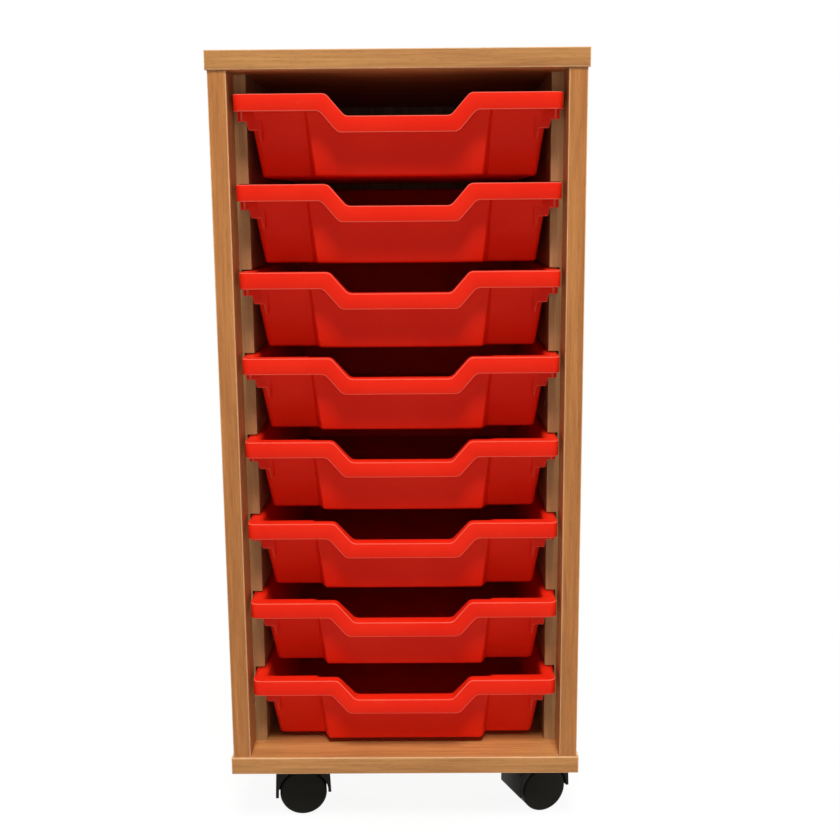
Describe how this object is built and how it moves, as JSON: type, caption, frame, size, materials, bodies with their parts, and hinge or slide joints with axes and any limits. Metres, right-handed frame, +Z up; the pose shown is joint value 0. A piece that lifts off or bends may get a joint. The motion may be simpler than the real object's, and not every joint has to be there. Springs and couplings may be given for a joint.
{
  "type": "classroom tray storage unit",
  "caption": "Mobile open-fronted wooden cabinet with a column of shallow sliding trays on grooved runner panels, standing on hooded twin-wheel castors.",
  "frame": {"origin": "on the floor, under the middle of the carcase", "axes": "+Z up, -Y towards the open front, +X to the right as seen from the front"},
  "size_m": [0.36, 0.45, 0.788],
  "materials": {
    "beech_board": "satin beech-faced board",
    "edging": "satin beech-print edging",
    "runner_board": "satin beech-faced board",
    "back_board": "satin beech-faced thin board",
    "dowel_beech": "raw",
    "tray_red": "semi-gloss moulded",
    "hood_black": "satin moulded",
    "wheel_black": "satin moulded",
    "steel": "zinc plated"
  },
  "bodies": {
    "root": {"top_panel": "beech_board", "base_panel": "beech_board", "left_side_panel": "beech_board", "right_side_panel": "beech_board", "back_panel": "back_board", "left_runner_panel": "runner_board", "right_runner_panel": "runner_board", "top_front_edging": "edging", "base_front_edging": "edging", "top_end_edgings": "edging", "base_end_edgings": "edging", "left_side_edging": "edging", "right_side_edging": "edging", "carcase_dowels": "dowel_beech", "runner_screws": "steel", "back_panel_screws": "steel", "castor_screws": "steel", "front_left_castor_plate": "steel", "front_left_king_pin": "steel", "front_right_castor_plate": "steel", "front_right_king_pin": "steel", "back_left_castor_plate": "steel", "back_left_king_pin": "steel", "back_right_castor_plate": "steel", "back_right_king_pin": "steel"},
    "tray_1_body": {"tray_1": "tray_red"},
    "tray_2_body": {"tray_2": "tray_red"},
    "tray_3_body": {"tray_3": "tray_red"},
    "tray_4_body": {"tray_4": "tray_red"},
    "tray_5_body": {"tray_5": "tray_red"},
    "tray_6_body": {"tray_6": "tray_red"},
    "tray_7_body": {"tray_7": "tray_red"},
    "tray_8_body": {"tray_8": "tray_red"},
    "front_left_castor": {"front_left_castor_hood": "hood_black", "front_left_castor_axle": "steel"},
    "front_left_outer_wheel_body": {"front_left_outer_wheel": "wheel_black"},
    "front_left_inner_wheel_body": {"front_left_inner_wheel": "wheel_black"},
    "front_right_castor": {"front_right_castor_hood": "hood_black", "front_right_castor_axle": "steel"},
    "front_right_outer_wheel_body": {"front_right_outer_wheel": "wheel_black"},
    "front_right_inner_wheel_body": {"front_right_inner_wheel": "wheel_black"},
    "back_left_castor": {"back_left_castor_hood": "hood_black", "back_left_castor_axle": "steel"},
    "back_left_outer_wheel_body": {"back_left_outer_wheel": "wheel_black"},
    "back_left_inner_wheel_body": {"back_left_inner_wheel": "wheel_black"},
    "back_right_castor": {"back_right_castor_hood": "hood_black", "back_right_castor_axle": "steel"},
    "back_right_outer_wheel_body": {"back_right_outer_wheel": "wheel_black"},
    "back_right_inner_wheel_body": {"back_right_inner_wheel": "wheel_black"}
  },
  "joints": [
    {"name": "tray_1_slide", "type": "slide", "parent": "root", "child": "tray_1_body", "axis": [0, -1, 0], "range_m": [0, 0.38]},
    {"name": "tray_2_slide", "type": "slide", "parent": "root", "child": "tray_2_body", "axis": [0, -1, 0], "range_m": [0, 0.38]},
    {"name": "tray_3_slide", "type": "slide", "parent": "root", "child": "tray_3_body", "axis": [0, -1, 0], "range_m": [0, 0.38]},
    {"name": "tray_4_slide", "type": "slide", "parent": "root", "child": "tray_4_body", "axis": [0, -1, 0], "range_m": [0, 0.38]},
    {"name": "tray_5_slide", "type": "slide", "parent": "root", "child": "tray_5_body", "axis": [0, -1, 0], "range_m": [0, 0.38]},
    {"name": "tray_6_slide", "type": "slide", "parent": "root", "child": "tray_6_body", "axis": [0, -1, 0], "range_m": [0, 0.38]},
    {"name": "tray_7_slide", "type": "slide", "parent": "root", "child": "tray_7_body", "axis": [0, -1, 0], "range_m": [0, 0.38]},
    {"name": "tray_8_slide", "type": "slide", "parent": "root", "child": "tray_8_body", "axis": [0, -1, 0], "range_m": [0, 0.38]},
    {"name": "front_left_swivel", "type": "hinge", "parent": "root", "child": "front_left_castor", "pos_m": [-0.127, -0.17, 0.05], "axis": [0, 0, 1], "continuous": true},
    {"name": "front_left_outer_wheel_roll", "type": "hinge", "parent": "front_left_castor", "child": "front_left_outer_wheel_body", "pos_m": [-0.11261, -0.16823, 0.025], "axis": [-0.1219, 0.9925, 0], "continuous": true},
    {"name": "front_left_inner_wheel_roll", "type": "hinge", "parent": "front_left_castor", "child": "front_left_inner_wheel_body", "pos_m": [-0.11261, -0.16823, 0.025], "axis": [-0.1219, 0.9925, 0], "continuous": true},
    {"name": "front_right_swivel", "type": "hinge", "parent": "root", "child": "front_right_castor", "pos_m": [0.127, -0.17, 0.05], "axis": [0, 0, 1], "continuous": true},
    {"name": "front_right_outer_wheel_roll", "type": "hinge", "parent": "front_right_castor", "child": "front_right_outer_wheel_body", "pos_m": [0.14035, -0.16433, 0.025], "axis": [-0.3907, 0.9205, 0], "continuous": true},
    {"name": "front_right_inner_wheel_roll", "type": "hinge", "parent": "front_right_castor", "child": "front_right_inner_wheel_body", "pos_m": [0.14035, -0.16433, 0.025], "axis": [-0.3907, 0.9205, 0], "continuous": true},
    {"name": "back_left_swivel", "type": "hinge", "parent": "root", "child": "back_left_castor", "pos_m": [-0.127, 0.17, 0.05], "axis": [0, 0, 1], "continuous": true},
    {"name": "back_left_outer_wheel_roll", "type": "hinge", "parent": "back_left_castor", "child": "back_left_outer_wheel_body", "pos_m": [-0.11282, 0.17302, 0.025], "axis": [-0.2079, 0.9781, 0], "continuous": true},
    {"name": "back_left_inner_wheel_roll", "type": "hinge", "parent": "back_left_castor", "child": "back_left_inner_wheel_body", "pos_m": [-0.11282, 0.17302, 0.025], "axis": [-0.2079, 0.9781, 0], "continuous": true},
    {"name": "back_right_swivel", "type": "hinge", "parent": "root", "child": "back_right_castor", "pos_m": [0.127, 0.17, 0.05], "axis": [0, 0, 1], "continuous": true},
    {"name": "back_right_outer_wheel_roll", "type": "hinge", "parent": "back_right_castor", "child": "back_right_outer_wheel_body", "pos_m": [0.11337, 0.17496, 0.025], "axis": [-0.342, -0.9397, 0], "continuous": true},
    {"name": "back_right_inner_wheel_roll", "type": "hinge", "parent": "back_right_castor", "child": "back_right_inner_wheel_body", "pos_m": [0.11337, 0.17496, 0.025], "axis": [-0.342, -0.9397, 0], "continuous": true}
  ]
}
